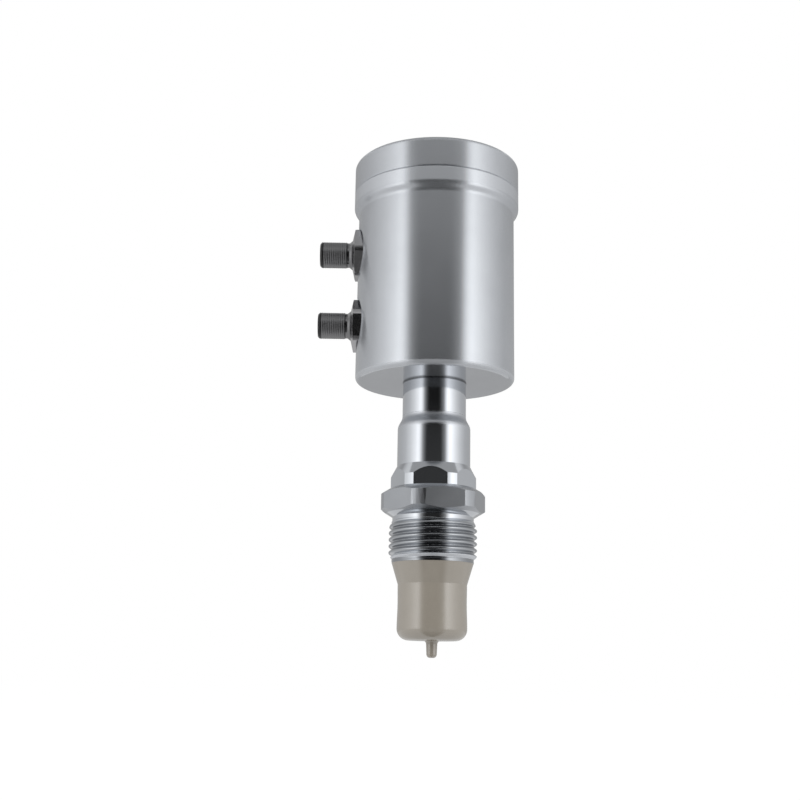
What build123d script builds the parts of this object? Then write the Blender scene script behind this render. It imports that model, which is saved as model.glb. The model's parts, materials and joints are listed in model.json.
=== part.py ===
from build123d import *
import os
from math import cos, radians, sqrt, tan

# Impedance level sensor: a turned stainless steel head with a screw lid and two round
# plug connectors, on a neck over a process gland, with a plastic sensing tip below.
# Lengths are in millimetres. +Z points up to the head, and the connectors point along -X.
# The origin is on the axis, at the foot of the large hexagon.

# Clearances
fit_gap = 0.05           # pieces that are screwed, pressed or glued together
seal_gap = 0.1           # beside the squeezed section of a seal ring
lid_thread_gap = 0.3     # between the lid's thread and the collar
button_gap = 0.1         # beside the stem of the setting button
slot_gap = 1.2           # round anything that passes through the board carrier
seal_round = 0.45        # corner radius of a squeezed ring, as a share of its thinner side

# Process gland: the large hexagon and the thread under it
gland_hex_sw = 43.0
gland_turn_d = 46.5          # the corners are turned round
gland_hex_turn = 12.0
gland_corner_low = 3.34      # where the straight part of a corner starts
gland_corner_length = 6.83
hex_bevel_angle = 32.0
relief_d = 36.1
relief_h = 1.5
thread_d = 39.0
thread_lead_h = 3.0          # slope from the relief out to the thread
thread_end_z = -20.0
thread_end_d = 36.2          # short plain land under the thread
thread_end_land = 1.7
thread_end_bevel_h = 1.4     # slope from the thread in to the land
gland_bore_d = 26.0

# Sensor body: the small hexagon, the sleeve and the cone under the neck
body_turn_d = 38.0
body_hex_sw = 35.0
body_hex_turn = -6.0         # the two hexagons are not in line
body_land_h = 5.0
body_cone_h = 5.0
sleeve_d = 32.7
sleeve_h = 16.6
shoulder_h = 6.4             # swings smoothly in to the neck
body_bore_d = 16.0
body_spigot_h = 16.8
body_seal_drop = 4.4         # from the top of the gland down to the groove
neck_spigot_h = 8.0
stem_seal_w = 1.8
stem_seal_h = 2.4

# Neck
neck_d = 28.6
neck_wall = 1.5
neck_length = 15.55          # from the sensor body to the underside of the head

# Sensing tip
tip_cone_d = 36.0
tip_cone_foot_d = 30.4
tip_cone_h = 9.2
tip_waist_d = 30.2
tip_waist_h = 9.2            # from the cone down to the narrowest place
tip_foot_d = 30.7
tip_length = 33.2            # from the end of the thread to the flat end
tip_edge_r = 5.0
nozzle_d = 5.0
nozzle_end_d = 4.4
nozzle_length = 7.3
nozzle_root_r = 1.6
nozzle_tip_r = 1.5
tip_stem_h = 14.0
tip_seal_rise = 3.6          # from the end of the thread up to the groove

# Electrodes inside the tip
rod_d = 6.0
needle_d = 1.6
rod_low = 7.0                # from the flat end of the tip up to the rod's foot
rod_length = 34.0
needle_end = 1.6             # plastic left below the needle
insulator_wall = 1.2
guard_wall = 0.7
guard_low = 5.0              # the guard starts this far above the rod's foot
rod_pin_d = 1.2
rod_pin_h = 8.0

# Signal lead
lead_d = 3.0
lead_bend_r = 14.0
lead_rise = 18.15            # from the underside of the head to the lead's last run
bush_h = 6.0

# Head
head_d = 72.2
head_wall = 3.5
head_floor = 4.0
head_edge_r = 2.2
barrel_h = 79.0
flare_h = 4.3                # swings smoothly out to the collar
collar_d = 76.6
collar_h = 6.55
collar_bore_d = 68.0
collar_bore_h = 12.0
floor_fillet_r = 2.0

# Lid
lid_h = 14.0
lid_top = 4.0
lid_edge_r = 2.0
parting_bevel = 0.4
spigot_h = 9.0
spigot_bore_d = 61.0
lid_seal_w = 1.9
lid_seal_h = 2.4
lid_seal_drop = 0.7          # from the lid's seat to the groove

# Plug connectors
upper_plug_z = 60.63         # axis heights above the underside of the head
plug_spacing = 34.15
upper_hex_turn = 28.0
lower_hex_turn = 48.0
spot_d = 26.8                # flat milled into the round wall
pad_depth = 4.5              # metal left behind the flat
pad_d = 26.0
plug_hex_sw = 22.0
plug_turn_d = 24.2           # its corners are turned round
plug_hex_h = 5.2
plug_face_d = 13.6           # the hexagon's front is a flat cone out from here
plug_face_angle = 13.0
plug_d = 12.0
plug_neck_d = 11.4
plug_root_h = 1.4            # flare from the hexagon in to the neck
plug_neck_h = 2.5
plug_length = 14.95
plug_bore_d = 9.0
plug_bore_h = 8.5
plug_end_bevel = 0.8
plug_stem_d = 16.0
plug_nut_sw = 20.0
plug_nut_h = 3.0
plug_nut_bevel = 0.8
plug_nut_bevel_angle = 30.0
plug_stem_over = 1.0         # stem that shows past its nut
plug_seal_d = 17.4
plug_seal_w = 1.6
plug_seal_h = 1.1
contact_d = 1.0
contact_circle_d = 5.0
contact_count = 4
contact_recess = 1.1
contact_tail = 1.0
key_w = 1.2
key_h = 0.8
insert_tail = 4.0            # insert behind the end of the stem

# Board carrier, boards and what is on them
carrier_foot_d = 57.0
carrier_foot_h = 3.0
carrier_hole_d = 12.0
carrier_wall_t = 2.5
carrier_wall_w = 37.0
carrier_shelf_d = 63.0
carrier_shelf_h = 2.5
carrier_shelf_z = 74.65      # above the underside of the head
carrier_rib_reach = 22.5
carrier_rib_waist = 6.5
floor_post_h = 3.0
floor_post_d = 8.0
floor_post_circle_d = 50.4
carrier_screw_d = 3.0
carrier_screw_length = 6.5
board_stand = 13.5           # from the plug's seat to the main board
board_t = 1.6
main_board_w = 44.0
main_board_z = 13.65         # lower edge above the underside of the head
main_board_h = 59.0
board_post_d = 5.0
board_post_h = 5.4
board_hole_inset = 6.0
board_screw_d = 2.0
board_screw_length = 6.0
panel_board_d = 59.0
panel_post_h = 2.0
panel_post_circle_d = 50.0
header_w = 15.6
header_t = 2.5
header_h = 4.0
header_pin_d = 0.64
header_pitch = 2.54
header_pin_count = 6
header_pin_over = 0.8
switch_w = 8.0
switch_h = 4.0
switch_bore_h = 3.5
button_d = 4.0
button_cap_d = 6.0
button_cap_h = 2.0
button_cap_edge_r = 0.4
button_stem_h = 2.2
button_rise = 1.3            # free space under the cap
switch_y = 8.0
led_d = 3.0
led_h = 3.6
led_rim_w = 0.4
led_rim_h = 0.6
led_x = 9.0
led_pitch = 7.0

# Parts on the main board, placed from its middle
processor_w = 10.0
processor_t = 1.4
processor_y = -11.0
amplifier_w = 8.0
amplifier_h = 6.0
amplifier_t = 1.6
amplifier_y = 11.0
amplifier_z = 8.0
regulator_w = 5.0
regulator_h = 4.0
regulator_t = 1.2
regulator_y = 12.0
regulator_z = -4.0
coil_w = 9.0
coil_t = 4.2
capacitor_d = 4.0
capacitor_h = 4.4
capacitor_y = -12.0
capacitor_z = 14.0
capacitor_pitch = 5.0

# Heights and radii that follow
gland_bevel_slope = tan(radians(hex_bevel_angle))
gland_top = (gland_corner_low + gland_corner_length
             + (gland_turn_d - body_turn_d) / 2 * gland_bevel_slope)
body_cone_z = gland_top + body_land_h
sleeve_z = body_cone_z + body_cone_h
shoulder_z = sleeve_z + sleeve_h
neck_z = shoulder_z + shoulder_h
head_z = neck_z + neck_length
floor_z = head_z + head_floor
flare_z = head_z + barrel_h
collar_z = flare_z + flare_h
seat_z = collar_z + collar_h
lid_z = seat_z + lid_h
head_r = head_d / 2
barrel_bore_r = head_r - head_wall
collar_r = collar_d / 2
neck_bore_r = neck_d / 2 - neck_wall
stem_r = gland_bore_d / 2 - fit_gap
body_seal_z = gland_top - body_seal_drop
tip_seal_z = thread_end_z + tip_seal_rise
tip_end_z = thread_end_z - tip_length
tip_stem_z = thread_end_z + tip_stem_h
nozzle_end_z = tip_end_z - nozzle_length
rod_z = tip_end_z + rod_low
rod_top_z = rod_z + rod_length
insulator_r = rod_d / 2 + insulator_wall
guard_r = insulator_r + guard_wall
lead_low_z = rod_top_z + rod_pin_h
lead_high_z = head_z + lead_rise
plug_seat_x = sqrt(head_r ** 2 - (spot_d / 2) ** 2)
plug_base_h = pad_depth + plug_nut_h + plug_stem_over
plug_tip = plug_hex_h + plug_length
insert_face = plug_tip - plug_bore_h
board_x = board_stand - plug_seat_x
wall_x = board_x + board_t + board_post_h
shelf_z = head_z + carrier_shelf_z
panel_z = shelf_z + carrier_shelf_h + panel_post_h
panel_top_z = panel_z + board_t
foot_z = floor_z + floor_post_h
foot_top_z = foot_z + carrier_foot_h
board_low_z = head_z + main_board_z
board_high_z = board_low_z + main_board_h
board_hole_y = main_board_w / 2 - board_hole_inset
board_hole_heights = (board_low_z + board_hole_inset, board_high_z - board_hole_inset)
header_x = board_x + board_t + header_t / 2


def turned(*outline):
    """Solid of revolution about Z from a closed outline of radius and height pairs."""
    return revolve(make_face(Plane.XZ * Polyline(*outline, close=True)), Axis.Z)


def swing(low_r, low, high_r, high):
    """Solid of revolution about Z whose wall swings smoothly from one radius to another."""
    wall = Spline((low_r, low), (high_r, high), tangents=[(0, 1), (0, 1)])
    outline = [wall, Line((high_r, high), (0, high)), Line((0, high), (0, low)),
               Line((0, low), (low_r, low))]
    return revolve(make_face(Plane.XZ * Curve(outline)), Axis.Z)


def disc(radius, low, high):
    """Round bar about Z between two heights."""
    return Pos(0, 0, low) * extrude(Circle(radius), high - low)


def tube(inner, outer, low, high):
    """Round tube about Z between two heights."""
    return Pos(0, 0, low) * extrude(Circle(outer) - Circle(inner), high - low)


def hexagon(across_flats, low, high, turn=0.0):
    """Six sided bar about Z, with a corner on the X axis turned by the given angle."""
    outline = RegularPolygon(across_flats / 2, 6, major_radius=False, rotation=turn)
    return Pos(0, 0, low) * extrude(outline, high - low)


def seal_ring(inner, outer, low, high):
    """Seal ring as it lies squeezed in its groove, with round corners."""
    width = outer - inner
    height = high - low
    section = RectangleRounded(width, height, seal_round * min(width, height))
    return revolve(Plane.XZ * Pos((inner + outer) / 2, (low + high) / 2) * section, Axis.Z)


def block(low, high):
    """Box between two corners."""
    size = [b - a for a, b in zip(low, high)]
    return Pos(*low) * Box(*size, align=(Align.MIN, Align.MIN, Align.MIN))


def round_edges(solid, radius, height, edge_r):
    """Fillet the round edges of one radius at one height."""
    def is_wanted(edge):
        same_height = abs(edge.center(CenterOf.BOUNDING_BOX).Z - height) < 1e-3
        return same_height and abs(edge.radius - radius) < 1e-3
    edges = [edge for edge in solid.edges().filter_by(GeomType.CIRCLE) if is_wanted(edge)]
    return fillet(edges, edge_r)


def screw(diameter, length):
    """Pan head screw with its head on z = 0 and its shank pointing down."""
    head_r = 0.95 * diameter
    head_h = 0.7 * diameter
    head_edge = 0.25 * diameter
    socket_sw = 0.8 * diameter
    socket_floor = 0.3 * diameter
    head = round_edges(disc(head_r, 0, head_h), head_r, head_h, head_edge)
    return head + disc(diameter / 2, -length, 0) - hexagon(socket_sw, socket_floor, head_h)


def circle_spots(circle_d, count, height):
    """Places spread evenly on a circle about Z, the first one on +X."""
    return [Rot(0, 0, 360 * k / count) * Pos(circle_d / 2, 0, height) for k in range(count)]


# Process gland

def process_gland():
    corner_r = gland_turn_d / 2
    relief_r = relief_d / 2
    thread_r = thread_d / 2
    land_r = thread_end_d / 2
    land_z = thread_end_z + thread_end_land
    top_r = body_turn_d / 2
    corner_high = gland_corner_low + gland_corner_length
    foot = gland_corner_low - (corner_r - relief_r) * gland_bevel_slope
    bevelled = turned((0, foot), (relief_r, foot), (corner_r, gland_corner_low),
                      (corner_r, corner_high), (top_r, gland_top), (0, gland_top))
    head = hexagon(gland_hex_sw, foot, gland_top, gland_hex_turn) & bevelled
    shank = turned((0, thread_end_z), (land_r, thread_end_z), (land_r, land_z),
                   (thread_r, land_z + thread_end_bevel_h),
                   (thread_r, -relief_h - thread_lead_h), (relief_r, -relief_h),
                   (relief_r, foot), (0, foot))
    return head + shank - disc(gland_bore_d / 2, thread_end_z, gland_top)


# Sensor body

def sensor_body():
    turn_r = body_turn_d / 2
    sleeve_r = sleeve_d / 2
    shell = turned((0, gland_top), (turn_r, gland_top), (turn_r, body_cone_z),
                   (sleeve_r, sleeve_z), (sleeve_r, shoulder_z), (0, shoulder_z))
    shell = shell + swing(sleeve_r, shoulder_z, neck_d / 2, neck_z)
    flats = hexagon(body_hex_sw, gland_top, sleeve_z, body_hex_turn)
    flats = flats + disc(turn_r, sleeve_z, neck_z)
    lower_spigot = disc(stem_r, gland_top - body_spigot_h, gland_top)
    upper_spigot = disc(neck_bore_r - fit_gap, neck_z, neck_z + neck_spigot_h)
    solid = (shell & flats) + lower_spigot + upper_spigot
    solid = solid - body_seal_groove()
    return solid - disc(body_bore_d / 2, gland_top - body_spigot_h, neck_z + neck_spigot_h)


def body_seal_groove():
    return tube(stem_r - stem_seal_w, gland_bore_d, body_seal_z, body_seal_z + stem_seal_h)


def stem_seal(low):
    """Seal ring between a stem and the bore of the gland."""
    return seal_ring(stem_r - stem_seal_w + seal_gap, stem_r,
                     low + seal_gap, low + stem_seal_h - seal_gap)


def neck_tube():
    return tube(neck_bore_r, neck_d / 2, neck_z, floor_z)


# Sensing tip and electrodes

def sensing_tip():
    waist_z = thread_end_z - tip_cone_h - tip_waist_h
    cone_z = thread_end_z - tip_cone_h
    side = Spline((tip_cone_foot_d / 2, cone_z), (tip_waist_d / 2, waist_z),
                  (tip_foot_d / 2, tip_end_z + tip_edge_r), tangents=[(0, -1), (0, -1)])
    edge = RadiusArc(side @ 1, (tip_foot_d / 2 - tip_edge_r, tip_end_z), tip_edge_r)
    outline = [
        Line((0, thread_end_z), (tip_cone_d / 2, thread_end_z)),
        Line((tip_cone_d / 2, thread_end_z), side @ 0),
        side,
        edge,
        Line(edge @ 1, (0, tip_end_z)),
        Line((0, tip_end_z), (0, thread_end_z)),
    ]
    solid = revolve(make_face(Plane.XZ * Curve(outline)), Axis.Z)
    solid = solid + disc(stem_r, thread_end_z, tip_stem_z) + nozzle()
    solid = round_edges(solid, nozzle_d / 2, tip_end_z, nozzle_root_r)
    solid = solid - tube(stem_r - stem_seal_w, gland_bore_d, tip_seal_z, tip_seal_z + stem_seal_h)
    solid = solid - disc(guard_r + fit_gap, rod_z + guard_low, tip_stem_z)
    solid = solid - disc(rod_d / 2 + fit_gap, rod_z, rod_z + guard_low)
    return solid - disc(needle_d / 2 + fit_gap, nozzle_end_z + needle_end, rod_z)


def nozzle():
    """Small probe under the flat end of the tip, tapered and with a round end."""
    end_r = nozzle_end_d / 2
    solid = turned((0, nozzle_end_z), (end_r, nozzle_end_z), (nozzle_d / 2, tip_end_z), (0, tip_end_z))
    return round_edges(solid, end_r, nozzle_end_z, min(nozzle_tip_r, 0.9 * end_r))


def measuring_electrode():
    needle = disc(needle_d / 2, nozzle_end_z + needle_end, rod_z)
    rod = disc(rod_d / 2, rod_z, rod_top_z)
    return needle + rod + disc(rod_pin_d / 2, rod_top_z, lead_low_z)


def electrode_insulator():
    return tube(rod_d / 2 + fit_gap, insulator_r, rod_z + guard_low, rod_top_z)


def guard_electrode():
    return tube(insulator_r + fit_gap, guard_r, rod_z + guard_low, rod_top_z)


# Signal lead and the bush that centres it in the neck

def signal_lead():
    route = FilletPolyline((0, 0, lead_low_z), (0, 0, lead_high_z),
                           (board_x + board_t, 0, lead_high_z), radius=lead_bend_r)
    return sweep(Plane(route @ 0, z_dir=route % 0) * Circle(lead_d / 2), path=route)


def lead_bush():
    top = neck_z + neck_spigot_h
    return tube(lead_d / 2 + fit_gap, body_bore_d / 2 - fit_gap, top - bush_h, top)


# Head

def on_plug(height, solid):
    """Put a solid made along +Z from its seat onto the side of the head, pointing along -X."""
    return Pos(-plug_seat_x, 0, height) * Rot(0, -90, 0) * solid


def plug_heights():
    upper = head_z + upper_plug_z
    return {"upper": upper, "lower": upper - plug_spacing}


def housing():
    bore_z = seat_z - collar_bore_h
    solid = disc(head_r, head_z, flare_z) + swing(head_r, flare_z, collar_r, collar_z)
    solid = solid + turned((0, collar_z), (collar_r, collar_z), (collar_r, seat_z - parting_bevel),
                           (collar_r - parting_bevel, seat_z), (0, seat_z))
    solid = round_edges(solid, head_r, head_z, head_edge_r)
    cavity = disc(barrel_bore_r, floor_z, seat_z)
    cavity = round_edges(cavity, barrel_bore_r, floor_z, floor_fillet_r)
    solid = solid - cavity - disc(collar_bore_d / 2, bore_z, seat_z)
    for height in plug_heights().values():
        solid = solid + on_plug(height, disc(pad_d / 2, -pad_depth, 0))
    for height in plug_heights().values():
        solid = solid - on_plug(height, disc(spot_d / 2, 0, plug_hex_h))
        solid = solid - on_plug(height, disc(plug_stem_d / 2 + fit_gap, -plug_base_h, 0))
    for spot in circle_spots(floor_post_circle_d, 3, floor_z):
        solid = solid + spot * disc(floor_post_d / 2, 0, floor_post_h)
        solid = solid - spot * disc(carrier_screw_d / 2, carrier_foot_h + floor_post_h
                                    - carrier_screw_length - fit_gap, floor_post_h)
    return solid - disc(neck_d / 2 + fit_gap, head_z, floor_z)


# Lid and its seal

def lid():
    spigot_r = collar_bore_d / 2 - lid_thread_gap
    groove_high = seat_z - lid_seal_drop
    solid = turned((0, seat_z), (collar_r - parting_bevel, seat_z), (collar_r, seat_z + parting_bevel),
                   (collar_r, lid_z), (0, lid_z))
    solid = round_edges(solid, collar_r, lid_z, lid_edge_r)
    solid = solid + disc(spigot_r, seat_z - spigot_h, seat_z)
    solid = solid - disc(spigot_bore_d / 2, seat_z - spigot_h, lid_z - lid_top)
    groove_r = collar_bore_d / 2 - lid_seal_w - seal_gap
    return solid - tube(groove_r, collar_r, groove_high - lid_seal_h, groove_high)


def lid_seal():
    outer = collar_bore_d / 2 - seal_gap
    high = seat_z - lid_seal_drop - seal_gap
    return seal_ring(outer - lid_seal_w + seal_gap, outer, high - lid_seal_h + 2 * seal_gap, high)


# Plug connectors, each made along +Z from the flat that it is seated on

def contact_spots(height):
    return [Rot(0, 0, 45) * spot for spot in circle_spots(contact_circle_d, contact_count, height)]


def plug_shell(turn):
    hex_r = plug_turn_d / 2
    face_r = plug_face_d / 2
    fall = (hex_r - face_r) * tan(radians(plug_face_angle))
    bevelled = turned((0, 0), (hex_r, 0), (hex_r, plug_hex_h - fall),
                      (face_r, plug_hex_h), (0, plug_hex_h))
    solid = hexagon(plug_hex_sw, 0, plug_hex_h, turn) & bevelled
    neck_high = plug_hex_h + plug_neck_h
    lead_in = (plug_d - plug_neck_d) / 2
    plug_r = plug_d / 2
    solid = solid + turned((0, plug_hex_h), (face_r, plug_hex_h),
                           (plug_neck_d / 2, plug_hex_h + plug_root_h),
                           (plug_neck_d / 2, neck_high - lead_in), (plug_r, neck_high),
                           (plug_r, plug_tip - plug_end_bevel), (plug_r - plug_end_bevel, plug_tip),
                           (0, plug_tip))
    solid = solid + disc(plug_stem_d / 2, -plug_base_h, 0)
    solid = solid - tube(plug_seal_d / 2, plug_seal_d / 2 + plug_seal_w, 0, plug_seal_h)
    return solid - disc(plug_bore_d / 2, -plug_base_h, plug_tip)


def plug_insert():
    radius = plug_bore_d / 2 - fit_gap
    solid = disc(radius, -plug_base_h - insert_tail, insert_face)
    key_high = plug_tip - contact_recess
    solid = solid + block((radius - key_h, -key_w / 2, insert_face),
                          (radius - fit_gap, key_w / 2, key_high))
    for spot in contact_spots(0):
        solid = solid - spot * disc(contact_d / 2, -plug_base_h - insert_tail, insert_face)
    return solid


def plug_contacts():
    low = -board_stand - board_t - contact_tail
    high = plug_tip - contact_recess
    return [spot * disc(contact_d / 2, low, high) for spot in contact_spots(0)]


def plug_seal():
    inner = plug_seal_d / 2 + seal_gap
    return seal_ring(inner, inner + plug_seal_w - 2 * seal_gap, seal_gap / 2, plug_seal_h - seal_gap / 2)


def plug_nut():
    low = -pad_depth - plug_nut_h
    nut_r = plug_nut_sw / 2 / cos(radians(30))
    bevel_h = plug_nut_bevel * tan(radians(plug_nut_bevel_angle))
    bevelled = turned((0, low), (nut_r - plug_nut_bevel, low), (nut_r, low + bevel_h),
                      (nut_r, -pad_depth), (0, -pad_depth))
    solid = hexagon(plug_nut_sw, low, -pad_depth) & bevelled
    return solid - disc(plug_stem_d / 2 + fit_gap, low, -pad_depth)


# Boards and their carrier

def board_spots(x):
    """Places of the main board's four screws, with the screw axis along X."""
    return [Pos(x, side * board_hole_y, z) * Rot(0, -90, 0)
            for side in (-1, 1) for z in board_hole_heights]


def header_spots(z):
    first = -header_pitch * (header_pin_count - 1) / 2
    return [Pos(header_x, first + header_pitch * k, z) for k in range(header_pin_count)]


def board_carrier():
    half = carrier_wall_w / 2
    inner_x = wall_x + carrier_wall_t
    solid = disc(carrier_foot_d / 2, foot_z, foot_top_z) - disc(carrier_hole_d / 2, foot_z, foot_top_z)
    solid = solid + disc(carrier_shelf_d / 2, shelf_z, shelf_z + carrier_shelf_h)
    solid = solid + block((wall_x, -half, foot_top_z), (inner_x, half, shelf_z))
    reach = inner_x + carrier_rib_reach
    waist = inner_x + carrier_rib_waist
    run = reach - waist
    rib = Polyline((inner_x, foot_top_z), (reach, foot_top_z), (waist, foot_top_z + run),
                   (waist, shelf_z - run), (reach, shelf_z), (inner_x, shelf_z), close=True)
    for edge in (-half, half - carrier_wall_t):
        solid = solid + Pos(0, edge + carrier_wall_t, 0) * extrude(make_face(Plane.XZ * rib), carrier_wall_t)
    for spot in board_spots(wall_x):
        solid = solid + spot * disc(board_post_d / 2, 0, board_post_h)
    for spot in board_spots(board_x):
        solid = solid - spot * disc(board_screw_d / 2, -board_screw_length - fit_gap, 0)
    for spot in circle_spots(floor_post_circle_d, 3, foot_z):
        solid = solid - spot * disc(carrier_screw_d / 2 + seal_gap, 0, carrier_foot_h)
    for spot in circle_spots(panel_post_circle_d, 3, shelf_z + carrier_shelf_h):
        solid = solid + spot * disc(board_post_d / 2, 0, panel_post_h)
        solid = solid - spot * disc(board_screw_d / 2, -carrier_shelf_h, panel_post_h)
    lead_way = lead_d / 2 + slot_gap
    solid = solid - block((wall_x, -lead_way, foot_top_z), (inner_x, lead_way, lead_high_z + lead_way))
    slot_y = header_w / 2 + slot_gap
    slot_x = header_t / 2 + slot_gap
    return solid - block((header_x - slot_x, -slot_y, shelf_z),
                         (header_x + slot_x, slot_y, shelf_z + carrier_shelf_h))


def carrier_screws():
    one = screw(carrier_screw_d, carrier_screw_length)
    return [spot * one for spot in circle_spots(floor_post_circle_d, 3, foot_top_z)]


def main_board():
    half = main_board_w / 2
    solid = block((board_x, -half, board_low_z), (board_x + board_t, half, board_high_z))
    for spot in board_spots(board_x):
        solid = solid - spot * disc(board_screw_d / 2 + seal_gap, -board_t, 0)
    for height in plug_heights().values():
        for spot in contact_spots(0):
            hole = spot * disc(contact_d / 2 + fit_gap, -board_stand - board_t, -board_stand)
            solid = solid - on_plug(height, hole)
    return solid


def board_screws():
    one = screw(board_screw_d, board_screw_length)
    return [spot * one for spot in board_spots(board_x)]


def board_parts():
    """Chips, a filter coil and two capacitors on the inner face of the main board."""
    x = board_x + board_t
    middle = (board_low_z + board_high_z) / 2

    def chip(width, height, thick, y=0.0, rise=0.0):
        low_corner = (x, y - width / 2, middle + rise - height / 2)
        return block(low_corner, (x + thick, y + width / 2, middle + rise + height / 2))
    parts = [chip(processor_w, processor_w, processor_t, processor_y),
             chip(amplifier_w, amplifier_h, amplifier_t, amplifier_y, amplifier_z),
             chip(regulator_w, regulator_h, regulator_t, regulator_y, regulator_z),
             chip(coil_w, coil_w, coil_t)]
    for y in (capacitor_y, capacitor_y + capacitor_pitch):
        spot = Pos(x, y, middle + capacitor_z) * Rot(0, 90, 0)
        parts.append(spot * disc(capacitor_d / 2, 0, capacitor_h))
    return parts


def link_header():
    low = board_high_z - header_h
    half = header_w / 2
    solid = block((board_x + board_t, -half, low), (board_x + board_t + header_t, half, board_high_z))
    for spot in header_spots(0):
        solid = solid - spot * disc(header_pin_d / 2, low, board_high_z)
    return solid


def link_pins():
    low = board_high_z - header_h
    return [spot * disc(header_pin_d / 2, low, panel_top_z + header_pin_over) for spot in header_spots(0)]


def panel_board():
    solid = disc(panel_board_d / 2, panel_z, panel_top_z)
    for spot in circle_spots(panel_post_circle_d, 3, panel_z):
        solid = solid - spot * disc(board_screw_d / 2 + seal_gap, 0, board_t)
    for spot in header_spots(0):
        solid = solid - spot * disc(header_pin_d / 2 + fit_gap, panel_z, panel_top_z)
    return solid


def panel_screws():
    one = screw(board_screw_d, board_t + panel_post_h + carrier_shelf_h)
    return [spot * one for spot in circle_spots(panel_post_circle_d, 3, panel_top_z)]


def switch_base():
    half = switch_w / 2
    solid = block((-half, switch_y - half, panel_top_z), (half, switch_y + half, panel_top_z + switch_h))
    high = panel_top_z + switch_h
    return solid - Pos(0, switch_y, 0) * disc(button_d / 2 + button_gap, high - switch_bore_h, high)


def setting_button():
    high = panel_top_z + switch_h
    cap = disc(button_cap_d / 2, high + button_rise, high + button_rise + button_cap_h)
    cap = round_edges(cap, button_cap_d / 2, high + button_rise + button_cap_h, button_cap_edge_r)
    return Pos(0, switch_y, 0) * (cap + disc(button_d / 2, high - button_stem_h, high + button_rise))


def status_lamps():
    """Two small lamps with a round top, each with a rim at its foot."""
    radius = led_d / 2
    rim = disc(radius + led_rim_w, 0, led_rim_h)
    lamp = rim + disc(radius, 0, led_h - radius) + Pos(0, 0, led_h - radius) * Sphere(radius)
    lamp = lamp - disc(2 * led_d, -led_h, 0)
    return [Pos(led_x, switch_y + side * led_pitch / 2, panel_top_z) * lamp for side in (-1, 1)]


def nodes():
    """Every piece of the sensor by name, a list where one name covers several like pieces."""
    pieces = {
        "process_gland": process_gland(),
        "sensor_body": sensor_body(),
        "neck_tube": neck_tube(),
        "sensing_tip": sensing_tip(),
        "measuring_electrode": measuring_electrode(),
        "electrode_insulator": electrode_insulator(),
        "guard_electrode": guard_electrode(),
        "tip_seal": stem_seal(tip_seal_z),
        "body_seal": stem_seal(body_seal_z),
        "signal_lead": signal_lead(),
        "lead_bush": lead_bush(),
        "housing": housing(),
        "lid": lid(),
        "lid_seal": lid_seal(),
        "board_carrier": board_carrier(),
        "carrier_screws": carrier_screws(),
        "main_board": main_board(),
        "board_screws": board_screws(),
        "board_parts": board_parts(),
        "link_header": link_header(),
        "link_pins": link_pins(),
        "panel_board": panel_board(),
        "panel_screws": panel_screws(),
        "switch_base": switch_base(),
        "setting_button": setting_button(),
        "status_lamps": status_lamps(),
    }
    turns = {"upper": upper_hex_turn, "lower": lower_hex_turn}
    for name, height in plug_heights().items():
        pieces[name + "_plug_shell"] = on_plug(height, plug_shell(turns[name]))
        pieces[name + "_plug_insert"] = on_plug(height, plug_insert())
        pieces[name + "_plug_contacts"] = [on_plug(height, pin) for pin in plug_contacts()]
        pieces[name + "_plug_seal"] = on_plug(height, plug_seal())
        pieces[name + "_plug_nut"] = on_plug(height, plug_nut())
    return pieces


os.makedirs("parts", exist_ok=True)
for name, piece in nodes().items():
    if isinstance(piece, list):
        piece = Compound(children=[single.solid() for single in piece])
    export_step(piece, f"parts/{name}.step")
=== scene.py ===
import bmesh
import bpy
import json
from math import cos, pi, radians, sin
from mathutils import Matrix, Vector


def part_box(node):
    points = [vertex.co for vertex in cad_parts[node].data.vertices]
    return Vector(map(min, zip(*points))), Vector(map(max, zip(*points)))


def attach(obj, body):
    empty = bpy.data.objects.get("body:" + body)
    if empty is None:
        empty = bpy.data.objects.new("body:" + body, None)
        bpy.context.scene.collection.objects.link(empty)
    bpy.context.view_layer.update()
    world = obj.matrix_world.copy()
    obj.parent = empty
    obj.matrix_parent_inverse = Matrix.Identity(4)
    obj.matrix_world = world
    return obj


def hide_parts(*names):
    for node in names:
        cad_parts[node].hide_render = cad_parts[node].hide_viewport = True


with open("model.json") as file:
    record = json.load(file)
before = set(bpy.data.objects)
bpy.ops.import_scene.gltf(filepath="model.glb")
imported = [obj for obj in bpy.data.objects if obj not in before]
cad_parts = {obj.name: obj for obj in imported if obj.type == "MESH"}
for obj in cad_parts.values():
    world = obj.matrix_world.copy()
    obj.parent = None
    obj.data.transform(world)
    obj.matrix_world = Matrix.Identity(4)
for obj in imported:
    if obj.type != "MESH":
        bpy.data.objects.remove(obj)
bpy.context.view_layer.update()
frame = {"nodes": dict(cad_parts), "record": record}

nodes = frame["nodes"]
slots = {part["node"]: part["material_slot"] for part in frame["record"]["subparts"]}
scene = bpy.context.scene

mm = 0.001
front = -pi / 2                # the camera's side, as an angle round the Z axis
white = (1, 1, 1, 1)
black = (0, 0, 0, 1)

# Process thread, right-handed and shallow, in mm from the foot of the large hexagon.
# A profile is a list of (height, radius) points from the top down.
thread_pitch = 2.87
thread_depth = 1.25
thread_crest_r = 19.5
thread_groove_z = -10.57       # a groove's height on the camera's side
thread_columns = 192
thread_rows_per_pitch = 24
thread_blend = 0.6
gland_bore_r = 13.0
gland_cut_z = -0.8
gland_relief_r = 18.05
gland_outer_r = 20.2
gland_foot_r = 18.1
gland_profile = [(gland_cut_z, gland_relief_r), (-1.5, gland_relief_r), (-5.9, gland_outer_r),
                 (-16.2, gland_outer_r), (-18.3, gland_foot_r), (-20.0, gland_foot_r)]

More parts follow.
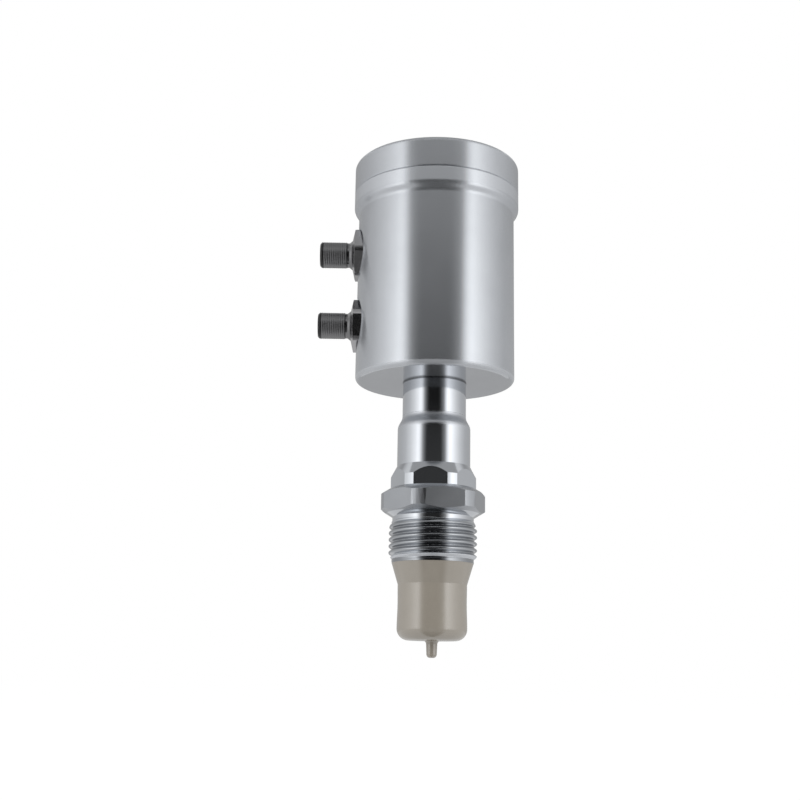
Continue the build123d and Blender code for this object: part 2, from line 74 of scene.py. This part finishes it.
# Threaded end of each plug, in mm from the cut in its neck to its tip
plug_length = 12.6
plug_pitch = 1.0
plug_depth = 0.1
plug_start = 0.3
plug_columns = 96
plug_rows_per_pitch = 14
plug_r = 6.0
plug_neck_r = 5.7
plug_tip_r = 5.2
plug_bore_r = 4.5
plug_profile = [(0.0, plug_neck_r), (-0.1, plug_neck_r), (-0.4, plug_r),
                (-plug_length + 0.8, plug_r), (-plug_length, plug_tip_r)]

# Thread on the lid's spigot, a thin ring round it, in mm from the spigot's foot
lid_pitch = 2.0
lid_depth = 0.26
lid_start = 0.5
lid_columns = 192
lid_rows_per_pitch = 14
lid_crest_r = 33.96
lid_edge_r = 33.6
lid_inner_r = 33.5
lid_profile = [(5.4, lid_edge_r), (5.0, lid_crest_r), (0.9, lid_crest_r), (0.3, lid_edge_r)]

# Places of finishes and of painted shade, in metres
collar_low, collar_top = 0.14467, 0.1511
foot_low, foot_top = 0.0612, 0.0638
milled_r = 0.0209
# Painted shade round the neck where it enters the head
neck_shade_z = 0.0611
neck_shade_half = 0.0006
neck_shade_edge = 0.0005
foot_edge = 0.0006
shoulder_low, shoulder_top = 0.0390, 0.0462
grooves_low, grooves_top = -0.0169, -0.0025
groove_low_r = (thread_crest_r - 1.2) * mm
groove_high_r = (thread_crest_r - 0.15) * mm
bevel_low, bevel_top = -0.0183, -0.0169
land_low, land_top = -0.0202, -0.0183
plug_end_band = 0.0015
plug_tip_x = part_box("upper_plug_shell")[0].x
plug_thread_x = plug_tip_x + 0.0125
plug_root_x = plug_tip_x + 0.0153

# Widths over which one finish turns into the next, in metres
fine_edge = 0.0001
soft_edge = 0.0002
thread_edge = 0.0003
wide_edge = 0.001

# Studio, in metres, with the lamps' angle from the camera's side in degrees
floor_z = -0.125
floor_size = 8
booth_r = 0.5
booth_top = 0.6
booth_sides = 96
lamp_angle = 56
lamp_distance = 0.9
lamp_width = 0.48
lamp_height = 1.2
lamp_energy = 4.0

# Camera, fitted to the photograph
camera_at = (-0.01556, -0.5321, -0.06745)
camera_lens = 54.207
camera_sensor = 36.0
camera_pitch = radians(12.809)
camera_roll = radians(0.998)


# Shader helpers
def connect(mat, value, socket):
    """Links an output to a socket, or gives the socket a plain value."""
    if isinstance(value, bpy.types.NodeSocket):
        mat.node_tree.links.new(value, socket)
    else:
        socket.default_value = value


def new_node(mat, kind, inputs=None, **settings):
    made = mat.node_tree.nodes.new(kind)
    for key, value in settings.items():
        setattr(made, key, value)
    for key, value in (inputs or {}).items():
        connect(mat, value, made.inputs[key])
    return made


def maths(mat, operation, *values):
    made = new_node(mat, "ShaderNodeMath", dict(enumerate(values)), operation=operation)
    return made.outputs[0]


def place(mat):
    """The point on the object in CAD coordinates, in metres."""
    return new_node(mat, "ShaderNodeTexCoord").outputs["Object"]


def axes(mat, vector):
    return new_node(mat, "ShaderNodeSeparateXYZ", {"Vector": vector}).outputs


def from_axis(mat, x, y):
    """Distance from the Z axis."""
    squares = maths(mat, "ADD", maths(mat, "MULTIPLY", x, x), maths(mat, "MULTIPLY", y, y))
    return maths(mat, "SQRT", squares)


def ring_place(mat):
    """Distance from the axis and height, so that a texture on them runs in rings."""
    x, y, z = axes(mat, place(mat))
    return new_node(mat, "ShaderNodeCombineXYZ", {"X": from_axis(mat, x, y), "Y": z}).outputs[0]


def noise(mat, vector, scale, detail, rough=0.5):
    made = new_node(mat, "ShaderNodeTexNoise", {
        "Vector": vector, "Scale": scale, "Detail": detail, "Roughness": rough})
    return made.outputs[0]


def map_range(mat, value, start, end, low=0.0, high=1.0):
    """low up to start, high from end on, and a straight line between them."""
    made = new_node(mat, "ShaderNodeMapRange", {
        "Value": value, "From Min": start, "From Max": end, "To Min": low, "To Max": high})
    return made.outputs[0]


# Most of a noise's values lie between these two
noise_low, noise_high = 0.3, 0.7


def spread(mat, factor, low, high):
    return map_range(mat, factor, noise_low, noise_high, low, high)


def two_tone(mat, factor, low, high):
    ramp = new_node(mat, "ShaderNodeValToRGB", {"Fac": factor})
    first, second = ramp.color_ramp.elements
    first.position = noise_low
    first.color = (*low, 1)
    second.position = noise_high
    second.color = (*high, 1)
    return ramp.outputs[0]


def shade(color, amount):
    return tuple(c * amount for c in color)


def toned(mat, factor, color, low, high):
    """One colour, times low to times high as the factor grows."""
    return two_tone(mat, factor, shade(color, low), shade(color, high))


def blended(mat, factor, low, high):
    """The colour low where factor is 0 and high where it is 1."""
    made = new_node(mat, "ShaderNodeMixRGB", {"Fac": factor, "Color1": low, "Color2": high})
    return made.outputs[0]


def blended_value(mat, factor, low, high):
    rest = maths(mat, "MULTIPLY", low, maths(mat, "SUBTRACT", 1.0, factor))
    return maths(mat, "ADD", rest, maths(mat, "MULTIPLY", high, factor))


def band(mat, value, low, high, edge):
    """1 between low and high, and 0 outside them, with soft edges."""
    rise = map_range(mat, value, low, low + edge)
    fall = map_range(mat, value, high - edge, high, low=1.0, high=0.0)
    return maths(mat, "MULTIPLY", rise, fall)


def plain(name, color, roughness, metallic=0.0, ior=1.5):
    mat = bpy.data.materials.new(name)
    mat.use_nodes = True
    shader = mat.node_tree.nodes["Principled BSDF"]
    shader.inputs["Base Color"].default_value = (*color, 1)
    shader.inputs["Roughness"].default_value = roughness
    shader.inputs["Metallic"].default_value = metallic
    shader.inputs["IOR"].default_value = ior
    return mat, shader


def link(mat, output, shader, name):
    mat.node_tree.links.new(output, shader.inputs[name])


def bumped(mat, shader, height, distance, edge=0.0):
    """A fine relief, with edges that look rounded where edge gives a radius."""
    inputs = {"Height": height, "Distance": distance, "Strength": 1.0}
    if edge:
        inputs["Normal"] = new_node(mat, "ShaderNodeBevel", {"Radius": edge}, samples=4).outputs[0]
    link(mat, new_node(mat, "ShaderNodeBump", inputs).outputs[0], shader, "Normal")


# Finishes
steel_color = (0.53, 0.55, 0.58)


def satin_steel():
    mat, shader = plain("satin_steel", steel_color, roughness=0.3, metallic=1.0)
    rings = noise(mat, ring_place(mat), scale=6000.0, detail=3.0, rough=0.6)
    cloud = noise(mat, place(mat), scale=60.0, detail=3.0, rough=0.6)
    # The collar below the parting line and the head's lower edge are duller than the walls
    collar_matt, foot_matt = 0.13, 0.5
    height = axes(mat, place(mat))["Z"]
    collar = band(mat, height, collar_low, collar_top, soft_edge)
    foot = band(mat, height, foot_low, foot_top, foot_edge)
    steel = toned(mat, cloud, steel_color, 0.97, 1.02)
    dull = toned(mat, cloud, steel_color, 1.09, 1.14)
    link(mat, blended(mat, collar, steel, dull), shader, "Base Color")
    wall = map_range(mat, height, foot_top, collar_low, low=0.94, high=0.87)
    matt = maths(mat, "ADD", maths(mat, "MULTIPLY", collar, collar_matt),
                 maths(mat, "MULTIPLY", foot, foot_matt))
    link(mat, maths(mat, "SUBTRACT", wall, matt), shader, "Metallic")
    # Faces that look up or down are turned finer than the wall
    facing = new_node(mat, "ShaderNodeNewGeometry").outputs["Normal"]
    upright = maths(mat, "ABSOLUTE", axes(mat, facing)["Z"])
    steep, flat = 0.75, 0.97
    finer = map_range(mat, upright, steep, flat, low=1.0, high=0.35)
    rough = spread(mat, rings, 0.25, 0.27)
    link(mat, maths(mat, "MULTIPLY", rough, finer), shader, "Roughness")
    # The marks of turning run round the axis
    shader.inputs["Anisotropic"].default_value = 1.0
    shader.inputs["Anisotropic Rotation"].default_value = 0.25
    tangent = new_node(mat, "ShaderNodeTangent", direction_type="RADIAL", axis="Z")
    link(mat, tangent.outputs[0], shader, "Tangent")
    bumped(mat, shader, rings, distance=0.08e-6, edge=0.0006)
    return mat


def polished_steel():
    mat, shader = plain("polished_steel", steel_color, roughness=0.1, metallic=1.0)
    around = ring_place(mat)
    rings = noise(mat, around, scale=3000.0, detail=3.0, rough=0.6)
    cloud = noise(mat, place(mat), scale=90.0, detail=3.0, rough=0.6)
    radius, height, _ = axes(mat, around)
    # The large hexagon is milled and duller, and a dark line of painted shade runs round the neck
    # where it enters the head, as in a gap between the two parts
    milled = map_range(mat, radius, milled_r - soft_edge, milled_r)
    steel = toned(mat, cloud, steel_color, 0.97, 1.02)
    dull = toned(mat, cloud, steel_color, 0.69, 0.74)
    joint_shade_color = (*shade(steel_color, 0.3), 1)
    joint_shade = band(mat, height, neck_shade_z - neck_shade_half, neck_shade_z + neck_shade_half,
                neck_shade_edge)
    tone = blended(mat, joint_shade, blended(mat, milled, steel, dull), joint_shade_color)
    # Painted shade darkens the thread, its grooves more than its crests, the bevel at its end is
    # light and matt, and painted shade darkens the land below that, under the last turn
    deep = map_range(mat, radius, groove_low_r, groove_high_r, low=0.35, high=0.28)
    threaded = band(mat, height, grooves_low, grooves_top, wide_edge)
    groove_shade = maths(mat, "MULTIPLY", deep, threaded)
    tone = blended(mat, groove_shade, tone, black)
    bevel_color = (*shade(steel_color, 1.2), 1)
    bevel = band(mat, height, bevel_low, bevel_top, fine_edge)
    tone = blended(mat, bevel, tone, bevel_color)
    land_shade = 0.4
    land = band(mat, height, land_low, land_top, fine_edge)
    tone = blended(mat, maths(mat, "MULTIPLY", land, land_shade), tone, black)
    link(mat, tone, shader, "Base Color")
    link(mat, map_range(mat, bevel, 0.0, 1.0, low=1.0, high=0.4), shader, "Metallic")
    # Polished all over, but for the milled hexagon, the shoulder and the bevel
    shoulder_rough, bevel_rough = 0.34, 0.4
    shoulder = band(mat, height, shoulder_low, shoulder_top, wide_edge)
    rough = blended_value(mat, milled, spread(mat, rings, 0.08, 0.12),
                          spread(mat, cloud, 0.28, 0.32))
    rough = blended_value(mat, shoulder, rough, shoulder_rough)
    link(mat, blended_value(mat, bevel, rough, bevel_rough), shader, "Roughness")
    turned = maths(mat, "MULTIPLY", rings, maths(mat, "SUBTRACT", 1.0, milled))
    bumped(mat, shader, turned, distance=0.15e-6, edge=0.00015)
    return mat


def tip_plastic():
    color = (0.355, 0.32, 0.27)
    mat, shader = plain("tip_plastic", color, roughness=0.15, ior=2.0)
    cloud = noise(mat, place(mat), scale=140.0, detail=4.0, rough=0.6)
    rings = noise(mat, ring_place(mat), scale=2400.0, detail=2.0)
    link(mat, toned(mat, cloud, color, 0.97, 1.03), shader, "Base Color")
    link(mat, spread(mat, cloud, 0.15, 0.20), shader, "Roughness")
    bumped(mat, shader, rings, distance=0.04e-6)
    return mat


def clouded_metal(name, color, scale, darkest):
    """A small metal part with a soft change of tone and of gloss."""
    mat, shader = plain(name, color, roughness=0.22, metallic=1.0)
    cloud = noise(mat, place(mat), scale, detail=3.0)
    link(mat, toned(mat, cloud, color, darkest, 1.04), shader, "Base Color")
    link(mat, spread(mat, cloud, 0.18, 0.28), shader, "Roughness")
    return mat


def electrode_steel():
    return clouded_metal("electrode_steel", (0.50, 0.51, 0.53), 400.0, 0.94)


def gold_contact():
    return clouded_metal("gold_contact", (0.75, 0.52, 0.2), 900.0, 0.93)


def zinc_steel():
    color = (0.52, 0.53, 0.54)
    mat, shader = plain("zinc_steel", color, roughness=0.3, metallic=1.0)
    cloud = noise(mat, place(mat), scale=700.0, detail=4.0, rough=0.6)
    link(mat, toned(mat, cloud, color, 0.88, 1.08), shader, "Base Color")
    link(mat, spread(mat, cloud, 0.24, 0.38), shader, "Roughness")
    bumped(mat, shader, cloud, distance=4e-6, edge=0.0001)
    return mat


def nickel_plate():
    color = (0.42, 0.42, 0.43)
    dark = (*shade(color, 0.5), 1)
    darkest = (*shade(color, 0.12), 1)
    mat, shader = plain("nickel_plate", color, roughness=0.2, metallic=1.0)
    cloud = noise(mat, place(mat), scale=500.0, detail=4.0, rough=0.6)
    # The thread is darker than the hexagon, as painted shade in its grooves, the groove behind
    # it is darker too, and the rim of the tip is darkest
    along = axes(mat, place(mat))["X"]
    rim_x = plug_tip_x + plug_end_band
    rim = map_range(mat, along, rim_x, rim_x + soft_edge, low=1.0, high=0.0)
    cut = map_range(mat, along, plug_thread_x - thread_edge, plug_thread_x, low=1.0, high=0.0)
    root = band(mat, along, plug_thread_x - soft_edge, plug_root_x, soft_edge)
    plate = blended(mat, root, toned(mat, cloud, color, 0.95, 1.05), dark)
    # Painted shade over the thread
    plate = blended(mat, cut, plate, dark)
    link(mat, blended(mat, rim, plate, darkest), shader, "Base Color")
    cut_rough = 0.4
    rough = blended_value(mat, cut, spread(mat, cloud, 0.18, 0.24), cut_rough)
    link(mat, rough, shader, "Roughness")
    bumped(mat, shader, cloud, distance=0.8e-6, edge=0.00012)
    return mat


def lamp_plastic():
    mat, shader = plain("lamp_plastic", (0.62, 0.66, 0.62), roughness=0.15)
    cloud = noise(mat, place(mat), scale=900.0, detail=3.0)
    tone = two_tone(mat, cloud, (0.58, 0.62, 0.58), (0.66, 0.70, 0.66))
    link(mat, tone, shader, "Base Color")
    link(mat, spread(mat, cloud, 0.12, 0.2), shader, "Roughness")
    return mat


def board_green():
    mat, shader = plain("board_green", (0.015, 0.09, 0.035), roughness=0.32)
    cloud = noise(mat, place(mat), scale=260.0, detail=3.0)
    weave = noise(mat, place(mat), scale=1500.0, detail=2.0)
    tone = two_tone(mat, cloud, (0.012, 0.075, 0.03), (0.02, 0.11, 0.042))
    link(mat, tone, shader, "Base Color")
    link(mat, spread(mat, weave, 0.28, 0.4), shader, "Roughness")
    bumped(mat, shader, weave, distance=4e-6)
    return mat


def moulded(name, color, roughness, grain, depth):
    """A moulded plastic with a fine grain of this scale, and this deep in metres."""
    mat, shader = plain(name, color, roughness)
    cloud = noise(mat, place(mat), scale=120.0, detail=3.0)
    fine = noise(mat, place(mat), grain, detail=4.0, rough=0.6)
    link(mat, toned(mat, cloud, color, 0.92, 1.06), shader, "Base Color")
    link(mat, spread(mat, fine, roughness - 0.06, roughness + 0.08), shader, "Roughness")
    bumped(mat, shader, fine, depth, edge=0.0001)
    return mat


# Colour, roughness, grain and depth of the grain of each moulded finish
moulded_finishes = {
    "white_plastic": ((0.72, 0.71, 0.67), 0.38, 700.0, 6e-6),
    "seal_rubber": ((0.022, 0.022, 0.023), 0.55, 1200.0, 8e-6),
    "lead_jacket": ((0.2, 0.12, 0.07), 0.45, 900.0, 6e-6),
    "carrier_plastic": ((0.055, 0.057, 0.06), 0.42, 900.0, 6e-6),
    "black_plastic": ((0.02, 0.02, 0.021), 0.36, 1100.0, 4e-6),
    "button_plastic": ((0.04, 0.09, 0.24), 0.35, 900.0, 4e-6),
}
other_finishes = {
    "satin_steel": satin_steel,
    "polished_steel": polished_steel,
    "tip_plastic": tip_plastic,
    "electrode_steel": electrode_steel,
    "gold_contact": gold_contact,
    "zinc_steel": zinc_steel,
    "nickel_plate": nickel_plate,
    "lamp_plastic": lamp_plastic,
    "board_green": board_green,
}
painted = {}


def paint(obj, slot):
    """Gives an object the finish of a slot, made once for all that share it."""
    if slot not in painted:
        if slot in moulded_finishes:
            painted[slot] = moulded(slot, *moulded_finishes[slot])
        else:
            painted[slot] = other_finishes[slot]()
    obj.data.materials.clear()
    obj.data.materials.append(painted[slot])


for node_name, node_slot in slots.items():
    paint(nodes[node_name], node_slot)


# Rings of points, and the faces between them
def ring_of_points(radius, z, count):
    angles = [2 * pi * i / count for i in range(count)]
    return [(radius * cos(angle), radius * sin(angle), z) for angle in angles]


def ring_of_faces(first, second, count):
    """Faces from one ring to another, each given by the number of its first point."""
    pairs = [(i, (i + 1) % count) for i in range(count)]
    return [(first + i, second + i, second + j, first + j) for i, j in pairs]


# Threads
def profile_radius(profile, z):
    """Radius of a profile at a height."""
    for (high, r_high), (low, r_low) in zip(profile, profile[1:]):
        if z >= low:
            return r_low + (r_high - r_low) * (min(z, high) - low) / (high - low)
    return profile[-1][1]


def groove(phase):
    """1 at the bottom of a groove and 0 on a crest, with a rounded shape."""
    narrowing = 1.4
    return (0.5 + 0.5 * cos(2 * pi * phase)) ** narrowing


def soft_min(a, b, blend):
    """The smaller of two lengths, with a rounded change over from one to the other."""
    near = max(0.0, 1.0 - abs(a - b) / blend)
    return min(a, b) - blend * near * near / 4


def thread_mesh(name, profile, crest, depth, pitch, bore, columns, rows_per_pitch, start,
                blend=0.05, closed=False):
    """A screw thread cut into a turned profile, on the Z axis in mm, with its foot and its bore.

    Only a closed one has a top face.
    """
    top, foot = profile[0][0], profile[-1][0]
    count = int((top - foot) / pitch * rows_per_pitch)
    even = {top - (top - foot) * i / count for i in range(count + 1)}
    heights = sorted(even | {point[0] for point in profile}, reverse=True)
    verts = []
    for z in heights:
        for i in range(columns):
            turn = 2 * pi * i / columns
            phase = (z - start) / pitch - turn / (2 * pi)
            r = profile[0][1]
            if z < top:
                r = soft_min(profile_radius(profile, z), crest - depth * groove(phase), blend)
            verts.append((r * cos(turn), r * sin(turn), z))
    verts += ring_of_points(bore, foot, columns) + ring_of_points(bore, top, columns)
    last = (len(heights) + 1) * columns
    faces = []
    for first in range(0, last, columns):
        faces += ring_of_faces(first, first + columns, columns)
    if closed:
        faces += ring_of_faces(last, 0, columns)
    mesh = bpy.data.meshes.new(name)
    mesh.from_pydata([Vector(v) * mm for v in verts], [], faces)
    return mesh


def joined(name, source, cut_at, normal, extra, matrix):
    """The CAD node's mesh cut off at a plane, with another mesh in place of the rest."""
    same_point = 1e-6
    sharp_angle = radians(15)
    bm = bmesh.new()
    bm.from_mesh(source.data)
    bmesh.ops.remove_doubles(bm, verts=bm.verts, dist=same_point)
    everything = list(bm.verts) + list(bm.edges) + list(bm.faces)
    bmesh.ops.bisect_plane(bm, geom=everything, plane_co=cut_at, plane_no=normal,
                           clear_inner=True)
    added = bmesh.new()
    added.from_mesh(extra)
    bmesh.ops.transform(added, matrix=matrix, verts=added.verts)
    bmesh.ops.recalc_face_normals(added, faces=added.faces)
    both = bpy.data.meshes.new(name)
    added.to_mesh(both)
    bm.from_mesh(both)
    for face in bm.faces:
        face.smooth = True
    bm.to_mesh(both)
    both.set_sharp_from_angle(angle=sharp_angle)
    obj = bpy.data.objects.new(name, both)
    scene.collection.objects.link(obj)
    return obj


gland_start = thread_groove_z - thread_pitch * front / (2 * pi)
gland_thread = thread_mesh("gland_thread", gland_profile, thread_crest_r, thread_depth,
                           thread_pitch, gland_bore_r, thread_columns, thread_rows_per_pitch,
                           gland_start, thread_blend)
gland = joined("gland_with_thread", nodes["process_gland"], (0, 0, gland_cut_z * mm), (0, 0, 1),
               gland_thread, Matrix.Identity(4))
paint(gland, "polished_steel")
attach(gland, "sensor")
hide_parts("process_gland")

lid_thread = thread_mesh("lid_thread", lid_profile, lid_crest_r, lid_depth, lid_pitch,
                         lid_inner_r, lid_columns, lid_rows_per_pitch, lid_start, closed=True)
lid_thread.transform(Matrix.Translation((0, 0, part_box("lid")[0].z)))
lid_thread.shade_smooth()
lid_ring = bpy.data.objects.new("lid_thread", lid_thread)
scene.collection.objects.link(lid_ring)
paint(lid_ring, "satin_steel")
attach(lid_ring, "lid")

for side in ("upper", "lower"):
    low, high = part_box(side + "_plug_shell")
    mesh = thread_mesh(side + "_plug_thread", plug_profile, plug_r, plug_depth, plug_pitch,
                       plug_bore_r, plug_columns, plug_rows_per_pitch, plug_start)
    # The mesh's foot points along -X and ends on the plug's tip
    cut_x = low.x + plug_length * mm
    axis_z = (low.z + high.z) / 2
    turn = Matrix.Translation((cut_x, 0, axis_z)) @ Matrix.Rotation(pi / 2, 4, "Y")
    plug = joined(side + "_plug_with_thread", nodes[side + "_plug_shell"], (cut_x, 0, 0),
                  (1, 0, 0), mesh, turn)
    paint(plug, "nickel_plate")
    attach(plug, "sensor")
    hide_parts(side + "_plug_shell")


# Studio materials
def emitter(name):
    """An empty material whose light isn't sampled as a lamp."""
    mat = bpy.data.materials.new(name)
    mat.use_nodes = True
    mat.node_tree.nodes.remove(mat.node_tree.nodes["Principled BSDF"])
    mat.cycles.emission_sampling = "NONE"
    return mat


def emission(mat, strength):
    return new_node(mat, "ShaderNodeEmission", {"Color": white, "Strength": strength}).outputs[0]


def surface(mat, output):
    mat.node_tree.links.new(output, mat.node_tree.nodes["Material Output"].inputs["Surface"])


def seen_directly(mat):
    """1 for camera, glossy and transmission rays."""
    path = new_node(mat, "ShaderNodeLightPath").outputs
    glossy = maths(mat, "MAXIMUM", path["Is Glossy Ray"], path["Is Transmission Ray"])
    return maths(mat, "MAXIMUM", path["Is Camera Ray"], glossy)


# World: white where it is seen, and grey as a light on the object
world_grey = 0.5
world = bpy.data.worlds.new("studio")
scene.world = world
world.use_nodes = True
background = world.node_tree.nodes["Background"]
world_seen = maths(world, "MULTIPLY", seen_directly(world), 1 - world_grey)
link(world, maths(world, "ADD", world_seen, world_grey), background, "Strength")
background.inputs["Color"].default_value = white

# Floor: pale, with the object's shadow from above, and seen through from below
floor_color = (0.2, 0.2, 0.2, 1)
floor_glow = 0.4
floor_seen_glow = 0.5
bpy.ops.mesh.primitive_plane_add(size=floor_size, location=(0, 0, floor_z))
floor = bpy.context.object
floor.name = "floor"
floor_mat = emitter("floor")
floor_seen = maths(floor_mat, "MULTIPLY", seen_directly(floor_mat), floor_seen_glow)
glow = emission(floor_mat, maths(floor_mat, "ADD", floor_seen, floor_glow))
paper = new_node(floor_mat, "ShaderNodeBsdfDiffuse", {"Color": floor_color}).outputs[0]
above = new_node(floor_mat, "ShaderNodeAddShader", {0: paper, 1: glow}).outputs[0]
below = new_node(floor_mat, "ShaderNodeNewGeometry").outputs["Backfacing"]
clear = new_node(floor_mat, "ShaderNodeBsdfTransparent").outputs[0]
both_sides = new_node(floor_mat, "ShaderNodeMixShader", {0: below, 1: above, 2: clear})
surface(floor_mat, both_sides.outputs[0])
floor.data.materials.append(floor_mat)


def curve_node(mat, value, points):
    """Straight lines between (value, result) points, all from 0 to 1."""
    made = new_node(mat, "ShaderNodeFloatCurve", {"Value": value})
    curve = made.mapping.curves[0]
    while len(curve.points) > 2:
        curve.points.remove(curve.points[-1])
    curve.points[0].location = points[0]
    curve.points[1].location = points[-1]
    for point in points[1:-1]:
        curve.points.new(*point)
    for point in curve.points:
        point.handle_type = "VECTOR"
    made.mapping.update()
    return made.outputs[0]


# A booth that only metal and gloss mirror. Its curves end at 1, so they hold a brightness
# divided by curve_scale.
curve_scale = 2.0
# Share of the light that the steel gives back
steel_level = 0.55
# Brightness round the object, as the steel shows it: degrees from the camera's side, positive
# to its right. Two light panels stand at about 50 degrees on both sides of a dark camera side.
studio = [(-180, .27), (-170, .27), (-130, .34), (-115, .38), (-100, .43), (-88, .53),
          (-79, .60), (-60, .85), (-53, 1.0), (-47, .92), (-40, .50), (-36, .25), (-30, .10),
          (-25, .04), (-20, .01), (-7, .002), (12, .002), (20, .03), (26, .10), (32, .19),
          (36, .40), (40, .70), (45, .98), (50, 1.1), (62, .90), (69, .77), (83, .58),
          (93, .49), (110, .38), (124, .35), (145, .30), (165, .27), (180, .27)]
# Least brightness at each height in metres, which shows on the dark side
dark_side = [(-0.125, .008), (.04, .01), (.062, .02), (.074, .06), (.09, .058), (.106, .055),
             (.13, .048), (.16, .014), (.19, .008), (.28, .03), (.32, .1), (.36, .35),
             (.42, .6), (.5, .9), (.6, 1.0)]
# How the panels fade at each height
panel_fade = [(-0.125, 1.0), (.2, 1.0), (.26, .91), (.35, .74), (.6, .7)]
# Brightness of the booth's floor: on the dark side by share of its radius, and on the others
floor_dark = [(0, .01), (.2, .01), (.25, .12), (1, .12)]
floor_light = 0.8
floor_turns_at = radians(30), radians(46)
ceiling_light = 0.5


def way_round(mat, x, y):
    """Angle from the camera's side."""
    return maths(mat, "ARCTAN2", x, maths(mat, "MULTIPLY", y, -1.0))


def booth_wall():
    mat = emitter("booth_wall")
    booth_h = booth_top - floor_z
    x, y, z = axes(mat, place(mat))
    turn = maths(mat, "ADD", maths(mat, "DIVIDE", way_round(mat, x, y), 2 * pi), 0.5)
    height = maths(mat, "DIVIDE", maths(mat, "SUBTRACT", z, floor_z), booth_h)
    ring_points = [(a / 360 + 0.5, v / steel_level / curve_scale) for a, v in studio]
    fade_points = [((h - floor_z) / booth_h, v) for h, v in panel_fade]
    least_points = [((h - floor_z) / booth_h, v / curve_scale) for h, v in dark_side]
    panels = maths(mat, "MULTIPLY", curve_node(mat, turn, ring_points),
                   curve_node(mat, height, fade_points))
    level = maths(mat, "MAXIMUM", panels, curve_node(mat, height, least_points))
    surface(mat, emission(mat, maths(mat, "MULTIPLY", level, curve_scale)))
    return mat


def booth_floor():
    mat = emitter("booth_floor")
    x, y, _ = axes(mat, place(mat))
    angle = maths(mat, "ABSOLUTE", way_round(mat, x, y))
    share = maths(mat, "DIVIDE", from_axis(mat, x, y), booth_r)
    dark = curve_node(mat, share, floor_dark)
    surface(mat, emission(mat, map_range(mat, angle, *floor_turns_at, dark, floor_light)))
    return mat


def booth_ceiling():
    mat = emitter("booth_ceiling")
    surface(mat, emission(mat, ceiling_light))
    return mat


def booth_piece(name, verts, faces, mat):
    mesh = bpy.data.meshes.new(name)
    mesh.from_pydata(verts, [], faces)
    mesh.materials.append(mat)
    obj = bpy.data.objects.new(name, mesh)
    scene.collection.objects.link(obj)
    obj.visible_camera = obj.visible_diffuse = obj.visible_shadow = False
    obj.visible_transmission = obj.visible_volume_scatter = False


def booth_ring(z):
    return ring_of_points(booth_r, z, booth_sides)


above_floor = 0.001
disc = [tuple(range(booth_sides))]
booth_piece("booth_wall", booth_ring(floor_z) + booth_ring(booth_top),
            ring_of_faces(booth_sides, 0, booth_sides), booth_wall())
booth_piece("booth_floor", booth_ring(floor_z + above_floor), disc, booth_floor())
booth_piece("booth_ceiling", booth_ring(booth_top), disc, booth_ceiling())

# Lamps: a soft panel on each side, which metal doesn't mirror
lamp_lift = Vector((0, 0, 0.05))
lamp_rise = 0.15
for side_angle in (-lamp_angle, lamp_angle):
    lamp = bpy.data.lights.new("panel", "AREA")
    lamp.shape = "RECTANGLE"
    lamp.size = lamp_width
    lamp.size_y = lamp_height
    lamp.energy = lamp_energy
    panel = bpy.data.objects.new("panel", lamp)
    scene.collection.objects.link(panel)
    direction = Vector((sin(radians(side_angle)), -cos(radians(side_angle)), lamp_rise))
    panel.location = direction * lamp_distance + lamp_lift
    panel.rotation_euler = direction.to_track_quat("Z", "Y").to_euler()
    panel.visible_camera = panel.visible_glossy = False

# Camera
camera_data = bpy.data.cameras.new("camera")
camera_data.lens = camera_lens
camera_data.sensor_width = camera_sensor
camera_data.clip_start = 0.01
camera_data.clip_end = 50.0
camera = bpy.data.objects.new("camera", camera_data)
scene.collection.objects.link(camera)
right, ahead, up = Vector((1, 0, 0)), Vector((0, 1, 0)), Vector((0, 0, 1))
look = ahead * cos(camera_pitch) + up * sin(camera_pitch)
over = up * cos(camera_pitch) - ahead * sin(camera_pitch)
camera_x = right * cos(camera_roll) + over * sin(camera_roll)
camera_y = over * cos(camera_roll) - right * sin(camera_roll)
camera_turn = Matrix((camera_x, camera_y, -look)).transposed().to_4x4()
camera.matrix_world = Matrix.Translation(camera_at) @ camera_turn
scene.camera = camera
scene.view_settings.view_transform = "Standard"
